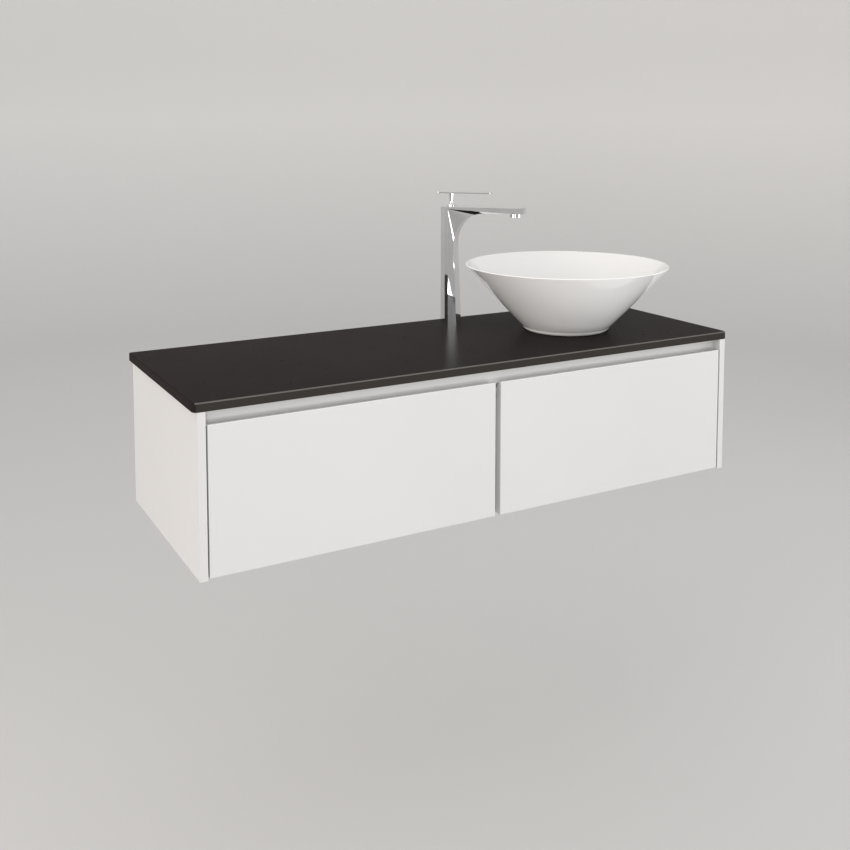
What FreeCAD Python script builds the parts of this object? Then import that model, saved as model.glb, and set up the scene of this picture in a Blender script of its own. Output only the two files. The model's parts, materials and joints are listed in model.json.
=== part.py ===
"""Vessel sink on a wall-hung vanity: benchtop, carcass, two drawers, basin, waste, trap and mixer.

Frame: +X to the right, +Y into the wall, +Z up.  The origin is on the wall plane, in the middle of
the four wall-fixing holes, which is also half the carcass height.  The front of the unit is at -Y.
"""
import FreeCAD, Part
import math
import os

from FreeCAD import Placement, Rotation, Vector
import Sketcher

DRIVING = [
    # benchtop
    ("top_width", 1200), ("top_depth", 432), ("top_thick", 16), ("top_corner", 9), ("top_bevel", 2),
    # carcass
    ("cab_width", 1186), ("cab_depth", 433), ("cab_height", 290), ("side_thick", 14),
    ("board", 16), ("setback", 21), ("back_thick", 15), ("back_height", 100),
    ("stretcher_depth", 72), ("board_edge", 0.8), ("board_play", 0.5),
    # dowels: how far each reaches into the side panel and into the board it holds
    ("dowel_radius", 3.95), ("dowel_out", 8.5), ("dowel_in", 22), ("dowel_room", 0.05),
    ("dowel_end_room", 0.5), ("dowel_inset", 20), ("dowel_front", 350), ("dowel_middle", 203),
    ("dowel_rear", 65),
    # wall fixing
    ("fix_span", 900), ("fix_rise", 210), ("fix_radius", 4),
    # finger-pull channel
    ("channel_face", 411), ("channel_wall", 2), ("channel_upright", 30), ("channel_step", 14),
    ("channel_tail", 14),
    # drawer fronts and boxes
    ("front_width", 570), ("front_height", 264), ("front_thick", 18), ("front_margin", 3),
    ("front_relief", 12), ("relief_slope", 1.4), ("front_gap", 12), ("box_side", 13),
    ("box_low", 112), ("box_high", 60), ("box_rear", 40),
    ("base_thick", 12), ("box_back", 16), ("bumper_radius", 4.5), ("bumper_thick", 2.6),
    ("bumper_inset", 30),
    # runners
    ("runner_z", -60), ("runner_front", 410), ("runner_length", 370), ("runner_sheet", 1.2),
    ("runner_gap", 13), ("cabinet_rail_far", 9.5), ("cabinet_rail_half", 22.5),
    ("mid_rail_near", 2.6), ("mid_rail_far", 10.8), ("mid_rail_half", 19.6),
    ("inner_rail_near", 5), ("inner_rail_half", 16.5),
    # basin
    ("basin_x", 310.5), ("basin_y", -231), ("basin_height", 145.6), ("basin_rim", 223.5),
    ("basin_foot", 87.5), ("basin_lip", 5), ("basin_recess", 4), ("basin_floor", 16),
    ("floor_radius", 88), ("floor_round", 36), ("foot_width", 12), ("basin_hole", 23),
    ("wall_bulge", 3600),
    # waste and trap
    ("waste_barrel", 21), ("waste_bore", 18.5), ("waste_flange", 32), ("waste_length", 76),
    ("waste_hole", 25), ("waste_seat", 10.5), ("waste_rim", 2), ("washer_radius", 34),
    ("washer_thick", 3), ("backnut_flats", 56), ("backnut_height", 9), ("seal_bore", 25.5),
    ("seal_radius", 62), ("guide_radius", 8), ("guide_height", 4), ("guide_drop", 10),
    ("guide_bar", 3), ("guide_reach", 19), ("plug_radius", 30.5), ("plug_stem", 4.2),
    ("plug_foot", -26), ("plug_neck", 15.6), ("plug_groove", 13.5), ("groove_low", 1.8),
    ("groove_high", 5.2), ("plug_ring", 18.1),
    ("pipe_radius", 16), ("pipe_bore", 14.5), ("trap_radius", 30), ("trap_bore", 27.5),
    ("inlet_foot", -42), ("slip_room", 0.2), ("nut_wall", 6), ("nut_height", 22),
    ("bottle_foot", -24), ("bottle_shoulder", 44), ("bottle_neck", 50), ("bottle_top", 62),
    ("cup_radius", 33.5), ("cup_grip", 31), ("cup_foot", -70), ("cup_top", -14),
    ("branch_length", 43), ("branch_wall", 3), ("outlet_nut_at", 40), ("outlet_nut_length", 18),
    ("outlet_start", 32), ("flange_wide", 6), ("flange_depth", 10),
    ("outlet_z", 22), ("notch_half", 58), ("notch_front", 292), ("notch_wall", 3),
    # mixer
    ("mixer_x", 124), ("mixer_y", -43), ("mixer_yaw", -45.2), ("mixer_height", 268.6),
    ("mixer_width", 54), ("mixer_back", 20.5), ("mixer_front", 17.8), ("spout_tip", 170.2),
    ("spout_under", 254.2), ("spout_arc", 70), ("arc_reach", 73), ("mixer_slope", 8.8),
    ("mixer_facet", 12.5), ("spout_facet", 13), ("web_depth", 5), ("ridge_at", -0.5),
    ("ridge_z", 262.7), ("ridge_corner", 2.5), ("ridge_end", 0.8), ("casting_round", 0.8),
    ("mixer_hole", 17.5), ("groove_depth", 1.5), ("shaft_back", 14.5), ("shaft_front", 7),
    ("shaft_half", 13), ("thread_depth", 12), ("inlet_back", 2), ("waterway_start", 10),
    ("waterway_half", 9), ("waterway_wall", 3.5), ("outlet_radius", 11), ("outlet_depth", 7),
    ("cartridge_bore", 13.7), ("cartridge_seat", 212), ("cartridge_top", 250),
    ("socket_radius", 4.8), ("socket_foot", 244), ("neck_radius", 9), ("neck_top", 256),
    ("ring_nut_step", 262), ("ring_nut_mouth", 5.2), ("clamp_radius", 24), ("clamp_rubber", 3.5),
    ("clamp_plate", 2), ("clamp_flats", 36), ("clamp_nut", 10), ("shank_foot", -62),
    ("hose_seat", 185), ("inlet_radius", 4.8), ("inlet_offset", 6.6), ("shank_radius", 14),
    ("shank_bore", 12), ("aerator_at", 148.6), ("aerator_radius", 12), ("aerator_drop", 8),
    ("aerator_bore", 9), ("aerator_thread", 10.8), ("aerator_rise", 6), ("ball_z", 275),
    ("ball_radius", 5), ("cup_radius_top", 7.4), ("cup_brim", 2.5), ("spindle_radius", 4.5),
    ("spindle_foot", 247), ("stem_radius", 4), ("stem_flare", 5.5), ("grub_radius", 1.9),
    ("grub_length", 3.6), ("grub_drop", 6), ("lever_taper", 1.5), ("lever_corner", 2.5),
    ("lever_edge", 0.8), ("lever_rear", 30.6), ("lever_front", 93), ("lever_width", 20),
    ("lever_low", 297.5), ("lever_thick", 3.5),
]

doc = FreeCAD.newDocument("vessel_sink_vanity")
sheet = doc.addObject("Spreadsheet::Sheet", "dims")
for row, (alias, number) in enumerate(DRIVING, start=1):
    sheet.set(f"A{row}", alias)
    sheet.set(f"B{row}", str(number))
    sheet.setAlias(f"B{row}", alias)
doc.recompute()

# Heights and faces that several pieces share, as expressions of the driving dimensions.
DECK = "(dims.cab_height / 2 + dims.top_thick)"
SOFFIT = "(dims.cab_height / 2)"
FLOOR = "(-dims.cab_height / 2)"
INNER = "(dims.cab_width / 2 - dims.side_thick)"
CARCASS_FRONT = "(-dims.cab_depth + dims.setback)"
FRONT_REAR = "(-dims.cab_depth + dims.front_thick)"
FRONT_FOOT = f"({FLOOR} + dims.front_margin)"
BASE_TOP = "(-dims.box_low + dims.base_thick)"

finished = []


def value(expression):
    """The number that an expression of driving dimensions has."""
    return float(sheet.evalExpression(str(expression).replace("dims.", "")))


def finish(piece, label):
    """Name a finished piece and put it on the list of pieces."""
    piece.Label = label
    finished.append(piece)
    return piece


def bind(piece, **properties):
    for name, expression in properties.items():
        piece.setExpression(name, str(expression))


def place(piece, x=0, y=0, z=0, yaw=None, tilt=None):
    """Bind a piece's placement; tilt is a fixed rotation of its own axes, yaw one about +Z."""
    if tilt is not None:
        piece.Placement = Placement(Vector(0, 0, 0), tilt)
    bind(piece, **{".Placement.Base.x": x, ".Placement.Base.y": y, ".Placement.Base.z": z})
    if yaw is not None:
        piece.setExpression(".Placement.Rotation.Angle", str(yaw))
    return piece


def box(label, x, y, z):
    """A board between two planes on each axis; each argument is a (low, high) pair of expressions."""
    piece = doc.addObject("Part::Box", label)
    sizes = [f"({high}) - ({low})" for low, high in (x, y, z)]
    bind(piece, Length=sizes[0], Width=sizes[1], Height=sizes[2])
    return place(piece, x[0], y[0], z[0])


ALONG_X = Rotation(Vector(0, 1, 0), 90)
ALONG_Y = Rotation(Vector(1, 0, 0), -90)


def rod(label, radius, length, x=0, y=0, z=0, tilt=None):
    """A cylinder that starts at (x, y, z) and runs up, or along the axis that tilt gives it."""
    piece = doc.addObject("Part::Cylinder", label)
    bind(piece, Radius=radius, Height=length)
    return place(piece, x, y, z, tilt=tilt)


def cut(label, base, *tools):
    tool = tools[0] if len(tools) == 1 else group(label + "_tools", *tools)
    piece = doc.addObject("Part::Cut", label)
    piece.Base = base
    piece.Tool = tool
    return piece


def fuse(label, *pieces):
    piece = doc.addObject("Part::MultiFuse", label)
    piece.Shapes = list(pieces)
    return piece


def group(label, *pieces):
    """Separate solids kept together as one object."""
    piece = doc.addObject("Part::Compound", label)
    piece.Links = list(pieces)
    return piece


def edges_where(feature, test):
    """Names of the feature's edges whose middle point and direction pass the test."""
    doc.recompute()
    names = []
    for number, edge in enumerate(feature.Shape.Edges, start=1):
        middle = edge.valueAt((edge.FirstParameter + edge.LastParameter) / 2)
        along = edge.tangentAt((edge.FirstParameter + edge.LastParameter) / 2)
        if test(middle, along, edge):
            names.append(f"Edge{number}")
    if not names:
        raise RuntimeError(f"no edge found on {feature.Label}")
    return names


def bevel(label, base, size, test):
    """A chamfer on the edges of a body's latest feature that pass the test."""
    body = base.getParentGeoFeatureGroup()
    feature = body.newObject("PartDesign::Chamfer", label)
    feature.Base = (base, edges_where(base, test))
    bind(feature, Size=size)
    doc.recompute()
    return feature


def rounded(label, base, radius, test):
    """A round on the edges of a body's latest feature that pass the test."""
    body = base.getParentGeoFeatureGroup()
    feature = body.newObject("PartDesign::Fillet", label)
    feature.Base = (base, edges_where(base, test))
    bind(feature, Radius=radius)
    doc.recompute()
    return feature


def new_body(name):
    return doc.addObject("PartDesign::Body", name)


def new_sketch(body, name, plane="XY_Plane", offset=None):
    """An empty sketch on one of the body's own origin planes."""
    sketch = body.newObject("Sketcher::SketchObject", name)
    support = next(item for item in body.Origin.OriginFeatures if item.Role == plane)
    sketch.AttachmentSupport = (support, [""])
    sketch.MapMode = "FlatFace"
    if offset is not None:
        sketch.setExpression(".AttachmentOffset.Base.z", str(offset))
    return sketch


def draw_outline(sketch, points):
    """A closed outline through (x, y) or (x, y, bulge radius) expressions, each corner dimensioned.

    A third entry turns the stretch that leads to the point into an arc of that radius, bulging to
    the right of the direction of travel, or to its left where the radius is negative.
    """
    corners = [Vector(value(point[0]), value(point[1]), 0) for point in points]
    ends = []
    for index, point in enumerate(points):
        start = corners[index - 1]
        end = corners[index]
        if len(point) == 3:
            radius = value(point[2])
            half = (end - start) * 0.5
            side = Vector(half.y, -half.x, 0).normalize() * math.copysign(1, radius)
            sagitta = abs(radius) - math.sqrt(radius * radius - half.Length ** 2)
            arc = Part.Arc(start, start + half + side * sagitta, end)
            curve = sketch.addGeometry(arc, False)
            swapped = sketch.getPoint(curve, 1).distanceToPoint(start) > 1e-6
            ends.append((curve, 2, 1) if swapped else (curve, 1, 2))
        else:
            curve = sketch.addGeometry(Part.LineSegment(start, end), False)
            ends.append((curve, 1, 2))
    for index, (curve, first, last) in enumerate(ends):
        following, next_first = ends[(index + 1) % len(ends)][:2]
        sketch.addConstraint(Sketcher.Constraint("Coincident", curve, last, following, next_first))
    for index, point in enumerate(points):
        curve, _, last = ends[index]
        for kind, expression, number in (("DistanceX", point[0], corners[index].x),
                                         ("DistanceY", point[1], corners[index].y)):
            where = sketch.addConstraint(Sketcher.Constraint(kind, -1, 1, curve, last, number))
            sketch.setExpression(f"Constraints[{where}]", str(expression))
        if len(point) == 3:
            radius = f"abs({point[2]})"
            where = sketch.addConstraint(Sketcher.Constraint("Radius", curve, value(radius)))
            sketch.setExpression(f"Constraints[{where}]", radius)


def draw_circle(sketch, x, y, radius):
    curve = sketch.addGeometry(Part.Circle(Vector(value(x), value(y), 0), Vector(0, 0, 1),
                                           value(radius)), False)
    for kind, expression in (("DistanceX", x), ("DistanceY", y)):
        rule = Sketcher.Constraint(kind, -1, 1, curve, 3, value(expression))
        sketch.setExpression(f"Constraints[{sketch.addConstraint(rule)}]", str(expression))
    rule = Sketcher.Constraint("Radius", curve, value(radius))
    sketch.setExpression(f"Constraints[{sketch.addConstraint(rule)}]", str(radius))


def pad(body, sketch, name, length, midplane=False):
    feature = body.newObject("PartDesign::Pad", name)
    feature.Profile = sketch
    feature.SideType = "Symmetric" if midplane else "One side"
    bind(feature, Length=length)
    doc.recompute()
    return feature


def pocket(body, sketch, name, length, back=False):
    """Cut the sketch's outline to a depth, and make sure that it took material away."""
    before = body.Shape.Volume
    feature = body.newObject("PartDesign::Pocket", name)
    feature.Profile = sketch
    feature.Reversed = back
    bind(feature, Length=length)
    doc.recompute()
    if not feature.Shape.Volume < before - 1:
        raise RuntimeError(f"{name} cut nothing")
    return feature


def turned(label, profile, x=0, y=0, z=0, yaw=None):
    """A piece turned about its own upright axis from an outline of (radius, height) points."""
    body = new_body(label)
    sketch = new_sketch(body, label + "_profile", "XZ_Plane")
    draw_outline(sketch, profile)
    feature = body.newObject("PartDesign::Revolution", label + "_turned")
    feature.Profile = sketch
    feature.ReferenceAxis = (sketch, ["V_Axis"])
    feature.Angle = 360
    doc.recompute()
    return place(body, x, y, z, yaw=yaw)


def ring(label, bore, radius, low, high, **where):
    """A plain ring, washer or tube between two heights."""
    return turned(label, [(bore, low), (radius, low), (radius, high), (bore, high)], **where)


def hexagon_nut(label, bore, flats, low, high, **where):
    """A six-sided nut; flats is its width across the flats."""
    body = new_body(label)
    sketch = new_sketch(body, label + "_outline", offset=low)
    corner = f"({flats}) / sqrt(3)"
    draw_outline(sketch, [(f"{corner} * {math.cos(math.radians(60 * turn)):.6f}",
                           f"{corner} * {math.sin(math.radians(60 * turn)):.6f}")
                          for turn in range(6)])
    height = f"({high}) - ({low})"
    pad(body, sketch, label + "_pad", height)
    hole = new_sketch(body, label + "_bore_outline", offset=low)
    draw_circle(hole, 0, 0, bore)
    pocket(body, hole, label + "_bore", height, back=True)
    return place(body, **where)


# ---------------------------------------------------------------- carcass

def dowel_cylinders(label, radius, reach_out, reach_in):
    """Dowels across both side joints of each board that runs between the side panels."""
    low_board, high_board = f"{FLOOR} + dims.board / 2", f"{SOFFIT} - dims.board / 2"
    back = "-dims.back_thick / 2"
    rows = [("-dims.dowel_front", low_board), ("-dims.dowel_middle", low_board),
            ("-dims.dowel_rear", low_board),
            (f"{CARCASS_FRONT} + dims.stretcher_depth / 2", high_board),
            (back, f"{SOFFIT} - dims.dowel_inset"),
            (back, f"{SOFFIT} - dims.back_height + dims.dowel_inset"),
            (back, f"{FLOOR} + dims.back_height - dims.dowel_inset"),
            (back, f"{FLOOR} + dims.dowel_inset")]
    rods = []
    for number, (y, z) in enumerate(rows, start=1):
        for side, start in (("left", f"-{INNER} - {reach_out}"), ("right", f"{INNER} - {reach_in}")):
            rods.append(rod(f"{label}_{side}_{number}", radius, f"{reach_out} + {reach_in}",
                            start, y, z, tilt=ALONG_X))
    return group(label, *rods)


dowel_holes = dowel_cylinders("dowel_holes", "dims.dowel_radius + dims.dowel_room",
                              "(dims.dowel_out + dims.dowel_end_room)",
                              "(dims.dowel_in + dims.dowel_end_room)")
finish(dowel_cylinders("dowels", "dims.dowel_radius", "dims.dowel_out", "dims.dowel_in"),
       "carcass_dowels")

finish(cut("left_side", box("left_side_board", ("-dims.cab_width / 2", f"-{INNER}"),
                            ("-dims.cab_depth", 0), (FLOOR, SOFFIT)), dowel_holes),
       "left_side_panel")
finish(cut("right_side", box("right_side_board", (INNER, "dims.cab_width / 2"),
                             ("-dims.cab_depth", 0), (FLOOR, SOFFIT)), dowel_holes),
       "right_side_panel")
finish(cut("bottom", box("bottom_board", (f"-{INNER}", INNER),
                         (CARCASS_FRONT, "-dims.back_thick"), (FLOOR, f"{FLOOR} + dims.board")),
           dowel_holes), "bottom_panel")
finish(cut("stretcher", box("stretcher_board", (f"-{INNER}", INNER),
                            ("-dims.channel_face + dims.channel_wall",
                             f"{CARCASS_FRONT} + dims.stretcher_depth"),
                            (f"{SOFFIT} - dims.board", SOFFIT)), dowel_holes),
       "top_front_stretcher")


def back_rail(label, low, high, hole_z):
    """A rail against the wall, with one wall-fixing hole near each end."""
    board = box(label + "_board", (f"-{INNER}", INNER), ("-dims.back_thick", 0), (low, high))
    holes = [rod(f"{label}_hole_{number}", "dims.fix_radius", "dims.back_thick + 2",
                 f"{sign} * dims.fix_span / 2", "-dims.back_thick - 1", hole_z, tilt=ALONG_Y)
             for number, sign in enumerate((-1, 1), start=1)]
    return finish(cut(label + "_cut", board, dowel_holes, *holes), label)


back_rail("back_top_rail", f"{SOFFIT} - dims.back_height", SOFFIT, "dims.fix_rise / 2")
back_rail("back_bottom_rail", FLOOR, f"{FLOOR} + dims.back_height", "-dims.fix_rise / 2")


def centre_divider():
    """An upright board, notched at its top front corner for the stretcher and the channel."""
    body = new_body("divider")
    sketch = new_sketch(body, "divider_outline", "YZ_Plane")
    notch_rear = f"{CARCASS_FRONT} + dims.stretcher_depth + dims.board_play"
    notch_foot = f"{SOFFIT} - dims.board - dims.board_play"
    channel_rear = ("-dims.channel_face + dims.channel_step + dims.channel_wall"
                    " + dims.board_play")
    channel_foot = (f"{SOFFIT} - dims.channel_upright - dims.channel_step - dims.channel_tail"
                    " - dims.board_play")
    draw_outline(sketch, [(CARCASS_FRONT, f"{FLOOR} + dims.board"),
                          ("-dims.back_thick", f"{FLOOR} + dims.board"),
                          ("-dims.back_thick", SOFFIT),
                          (notch_rear, SOFFIT),
                          (notch_rear, notch_foot),
                          (channel_rear, notch_foot),
                          (channel_rear, channel_foot),
                          (CARCASS_FRONT, channel_foot)])
    pad(body, sketch, "divider_pad", "dims.board", midplane=True)
    return finish(body, "centre_divider")


def finger_pull_channel():
    """A bent strip under the benchtop that leaves room for fingers behind the drawer fronts."""
    body = new_body("channel")
    sketch = new_sketch(body, "channel_outline", "YZ_Plane")
    face = "-dims.channel_face"
    deep = f"{face} + dims.channel_step"
    bend = f"{SOFFIT} - dims.channel_upright"
    knee = f"{bend} - dims.channel_step"
    tail = f"{knee} - dims.channel_tail"
    wall = "dims.channel_wall"
    rise = f"{wall} * tan(22.5)"
    draw_outline(sketch, [(face, SOFFIT), (face, bend), (deep, knee), (deep, tail),
                          (f"{deep} + {wall}", tail), (f"{deep} + {wall}", f"{knee} + {rise}"),
                          (f"{face} + {wall}", f"{bend} + {rise}"),
                          (f"{face} + {wall}", SOFFIT)])
    pad(body, sketch, "channel_pad", f"2 * {INNER}", midplane=True)
    return finish(body, "finger_pull_channel")


def benchtop():
    """The slab, with rounded front corners, a bevelled top edge and holes for mixer and waste."""
    body = new_body("slab")
    sketch = new_sketch(body, "slab_outline", offset=SOFFIT)
    half = "dims.top_width / 2"
    draw_outline(sketch, [(f"-{half}", "-dims.top_depth"), (half, "-dims.top_depth"),
                          (half, 0), (f"-{half}", 0)])
    slab = pad(body, sketch, "slab_pad", "dims.top_thick")
    front = -value("dims.top_depth")
    slab = rounded("slab_corners", slab, "dims.top_corner",
                   lambda at, along, edge: abs(along.z) > 0.9 and at.y < front + 1)
    deck = value(DECK)
    bevel("slab_bevel", slab, "dims.top_bevel",
          lambda at, along, edge: at.z > deck - 0.1 and at.y < -1)
    holes = new_sketch(body, "slab_hole_outlines", offset=SOFFIT)
    draw_circle(holes, "dims.mixer_x", "dims.mixer_y", "dims.mixer_hole")
    draw_circle(holes, "dims.basin_x", "dims.basin_y", "dims.waste_hole")
    pocket(body, holes, "slab_holes", "dims.top_thick + 1", back=True)
    return finish(body, "benchtop")


centre_divider()
finger_pull_channel()
benchtop()

# ---------------------------------------------------------------- runners and drawers

LEFT_BAY = (f"-{INNER}", "(-dims.board / 2)")
RIGHT_BAY = ("(dims.board / 2)", INNER)


def trough(label, face, sign, near, far, half, opens_out):
    """A sheet-metal section along Y: a web with two flanges, near and far from the bay's face.

    sign is +1 where the bay lies at +X of its face; opens_out puts the web at the near end.
    """
    sheet_thick = "dims.runner_sheet"
    inner_near = f"{near} + {sheet_thick}" if opens_out else f"{near} - 1"
    inner_far = f"{far} + 1" if opens_out else f"{far} - {sheet_thick}"

    def span(start, end):
        low, high = f"{face} + {sign} * ({start})", f"{face} + {sign} * ({end})"
        return (low, high) if sign > 0 else (high, low)

    rear = "-dims.runner_front + dims.runner_length"
    outer = box(label + "_outer", span(near, far), ("-dims.runner_front", rear),
                (f"dims.runner_z - {half}", f"dims.runner_z + {half}"))
    inner = box(label + "_hollow", span(inner_near, inner_far),
                ("-dims.runner_front - 1", f"{rear} + 1"),
                (f"dims.runner_z - {half} + {sheet_thick}",
                 f"dims.runner_z + {half} - {sheet_thick}"))
    return cut(label, outer, inner)


def runners(drawer, bay):
    """Both runners of a drawer: cabinet rails, then middle and inner members as pairs."""
    faces = (("left", bay[0], 1), ("right", bay[1], -1))
    for side, face, sign in faces:
        name = f"{drawer}_cabinet_rail_{side}"
        finish(trough(name + "_section", face, sign, 0, "dims.cabinet_rail_far",
                      "dims.cabinet_rail_half", True), name)
    middle = [trough(f"{drawer}_mid_{side}", face, sign, "dims.mid_rail_near",
                     "dims.mid_rail_far", "dims.mid_rail_half", True)
              for side, face, sign in faces]
    finish(group(drawer + "_mids", *middle), drawer + "_mid_rails")
    inner = [trough(f"{drawer}_inner_{side}", face, sign, "dims.inner_rail_near",
                    "dims.runner_gap", "dims.inner_rail_half", False)
             for side, face, sign in faces]
    finish(group(drawer + "_inners", *inner), drawer + "_inner_rails")


def drawer_front(drawer, low_x):
    """A front with a relief along its top rear edge for the fingers."""
    body = new_body(drawer + "_panel")
    sketch = new_sketch(body, drawer + "_panel_outline", "YZ_Plane", offset=low_x)
    head = f"{FRONT_FOOT} + dims.front_height"
    draw_outline(sketch, [("-dims.cab_depth", FRONT_FOOT), (FRONT_REAR, FRONT_FOOT),
                          (FRONT_REAR, f"{head} - dims.front_relief * dims.relief_slope"),
                          (f"{FRONT_REAR} - dims.front_relief", head),
                          ("-dims.cab_depth", head)])
    panel = pad(body, sketch, drawer + "_panel_pad", "dims.front_width")
    face = -value("dims.cab_depth")
    bevel(drawer + "_panel_edges", panel, "dims.board_edge",
          lambda at, along, edge: abs(at.y - face) < 0.01)
    finish(body, drawer + "_front")
    bumpers = [rod(f"{drawer}_bumper_{number}", "dims.bumper_radius", "dims.bumper_thick",
                   f"{low_x} + {inset}", FRONT_REAR, f"{FLOOR} + dims.board / 2 + 1", tilt=ALONG_Y)
               for number, inset in enumerate(("dims.bumper_inset",
                                                 "dims.front_width - dims.bumper_inset"), start=1)]
    finish(group(drawer + "_bumper_pair", *bumpers), drawer + "_bumpers")


def drawer_sides(drawer, bay):
    left = (f"{bay[0]} + dims.runner_gap", f"{bay[0]} + dims.runner_gap + dims.box_side")
    right = (f"{bay[1]} - dims.runner_gap - dims.box_side", f"{bay[1]} - dims.runner_gap")
    for side, x in (("left", left), ("right", right)):
        name = f"{drawer}_side_{side}"
        finish(box(name + "_board", x, (FRONT_REAR, "-dims.box_rear"),
                   ("-dims.box_low", "dims.box_high")), name)
    return left[1], right[0]


BACK_Y = ("-dims.box_rear - dims.box_back", "-dims.box_rear")
BACK_Z = (BASE_TOP, "dims.box_high")
BASE_Z = ("-dims.box_low", BASE_TOP)
FRONT_EDGE = "(dims.front_gap / 2)"


def left_drawer():
    runners("left_drawer", LEFT_BAY)
    drawer_front("left_drawer", f"-{FRONT_EDGE} - dims.front_width")
    inside = drawer_sides("left_drawer", LEFT_BAY)
    finish(box("left_drawer_base_board", inside, (FRONT_REAR, "-dims.box_rear"), BASE_Z),
           "left_drawer_base")
    finish(box("left_drawer_back_board", inside, BACK_Y, BACK_Z), "left_drawer_back")


def right_drawer():
    """The right drawer's base and back are notched around the trap, with a surround in the notch."""
    runners("right_drawer", RIGHT_BAY)
    drawer_front("right_drawer", FRONT_EDGE)
    inside = drawer_sides("right_drawer", RIGHT_BAY)
    notch_left = "dims.basin_x - dims.notch_half"
    notch_right = "dims.basin_x + dims.notch_half"
    board = box("right_drawer_base_board", inside, (FRONT_REAR, "-dims.box_rear"), BASE_Z)
    notch = box("right_drawer_base_notch", (notch_left, notch_right), ("-dims.notch_front", 0),
                ("-dims.box_low - 1", f"{BASE_TOP} + 1"))
    finish(cut("right_drawer_base_cut", board, notch), "right_drawer_base")
    finish(box("right_drawer_back_board_left", (inside[0], notch_left), BACK_Y, BACK_Z),
           "right_drawer_back_left")
    finish(box("right_drawer_back_board_right", (notch_right, inside[1]), BACK_Y, BACK_Z),
           "right_drawer_back_right")
    body = new_body("surround")
    sketch = new_sketch(body, "surround_outline", offset="-dims.box_low")
    wall = "dims.notch_wall"
    rear = "-dims.box_rear"
    front = "-dims.notch_front"
    draw_outline(sketch, [(notch_left, front), (notch_right, front), (notch_right, rear),
                          (f"{notch_right} - {wall}", rear), (f"{notch_right} - {wall}",
                                                              f"{front} + {wall}"),
                          (f"{notch_left} + {wall}", f"{front} + {wall}"),
                          (f"{notch_left} + {wall}", rear), (notch_left, rear)])
    pad(body, sketch, "surround_pad", "dims.box_low + dims.box_high")
    finish(body, "right_drawer_notch_surround")


left_drawer()
right_drawer()

# ---------------------------------------------------------------- basin, waste and trap

AT_BASIN = {"x": "dims.basin_x", "y": "dims.basin_y", "z": DECK}


def basin():
    """A cone of glazed ceramic with a thin lip, a flat foot and a recess for the waste flange."""
    shoulder = "dims.basin_height - 1.9"
    floor = "dims.basin_floor"
    step = "dims.waste_flange + 1"
    seat = "dims.waste_seat"
    foot, rim = "dims.basin_foot", "dims.basin_rim"
    body = turned("bowl", [("dims.basin_hole", "dims.basin_recess"),
                           (f"{foot} - dims.foot_width", "dims.basin_recess"),
                           (f"{foot} - dims.foot_width", 0),
                           (foot, 0),
                           (f"{foot} + 9", 8, 10),
                           (rim, shoulder, "dims.wall_bulge"),
                           (f"{rim} - dims.basin_lip", shoulder, "dims.basin_lip / 2 + 0.1"),
                           ("dims.floor_radius + 10", f"{floor} + 9.8"),
                           ("dims.floor_radius - 13", f"{floor} - 0.7", "-dims.floor_round"),
                           (step, f"{floor} - 3"),
                           (step, seat),
                           ("dims.basin_hole", seat)], **AT_BASIN)
    return finish(body, "basin")


def waste():
    """Flange and barrel with a guide for the plug, the parts that clamp it, and the plug."""
    seat = "dims.waste_seat"
    brim = "(dims.waste_seat + dims.waste_rim)"
    tail = f"({seat} - dims.waste_length)"
    finish(ring("foot_seal", "dims.seal_bore", "dims.seal_radius", 0, "dims.basin_recess",
                **AT_BASIN), "basin_seal")
    shell = turned("waste_shell", [("dims.waste_bore", tail),
                                   ("dims.waste_barrel", tail),
                                   ("dims.waste_barrel", seat),
                                   ("dims.waste_flange", seat),
                                   ("dims.waste_flange", brim),
                                   ("dims.waste_flange - dims.waste_rim", f"{brim} + 0.8"),
                                   ("dims.waste_bore", brim)], **AT_BASIN)
    x, y = "dims.basin_x", "dims.basin_y"
    level = (f"{DECK} - dims.guide_drop", f"{DECK} - dims.guide_drop + dims.guide_height")
    hub = rod("waste_hub", "dims.guide_radius", "dims.guide_height", x, y, level[0])
    reach, thin = "dims.guide_reach", "dims.guide_bar / 2"
    across = box("waste_bar_across", (f"{x} - {reach}", f"{x} + {reach}"),
                 (f"{y} - {thin}", f"{y} + {thin}"), level)
    along = box("waste_bar_along", (f"{x} - {thin}", f"{x} + {thin}"),
                (f"{y} - {reach}", f"{y} + {reach}"), level)
    guide = rod("waste_guide", "dims.plug_stem + 0.3", "dims.guide_drop", x, y,
                f"{DECK} - dims.guide_drop - 3")
    finish(cut("waste_core", fuse("waste_solid", shell, hub, across, along), guide), "waste_body")
    washer_foot = "(-dims.top_thick - dims.washer_thick)"
    finish(ring("waste_seal", "dims.waste_barrel + dims.slip_room", "dims.washer_radius",
                washer_foot, "-dims.top_thick", **AT_BASIN), "waste_washer")
    finish(hexagon_nut("waste_nut", "dims.waste_barrel + 0.1", "dims.backnut_flats",
                       f"{washer_foot} - dims.backnut_height", washer_foot, **AT_BASIN),
           "waste_backnut")
    neck, groove = "dims.plug_neck", "dims.plug_groove"
    finish(turned("plug", [(0, "dims.plug_foot"), ("dims.plug_stem", "dims.plug_foot"),
                           ("dims.plug_stem", -1), (neck, -1), (neck, "dims.groove_low"),
                           (groove, "dims.groove_low"), (groove, "dims.groove_high"),
                           (neck, "dims.groove_high"), (neck, f"{brim} + 1"),
                           ("dims.plug_radius", f"{brim} + 1"), ("dims.plug_radius", f"{brim} + 3"),
                           (0, f"{brim} + 5.5")], **AT_BASIN), "waste_plug")
    finish(ring("plug_ring", f"{groove} + 0.1", "dims.plug_ring", "dims.groove_low + 0.1",
                "dims.groove_high - 0.1", **AT_BASIN), "waste_plug_seal")


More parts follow.
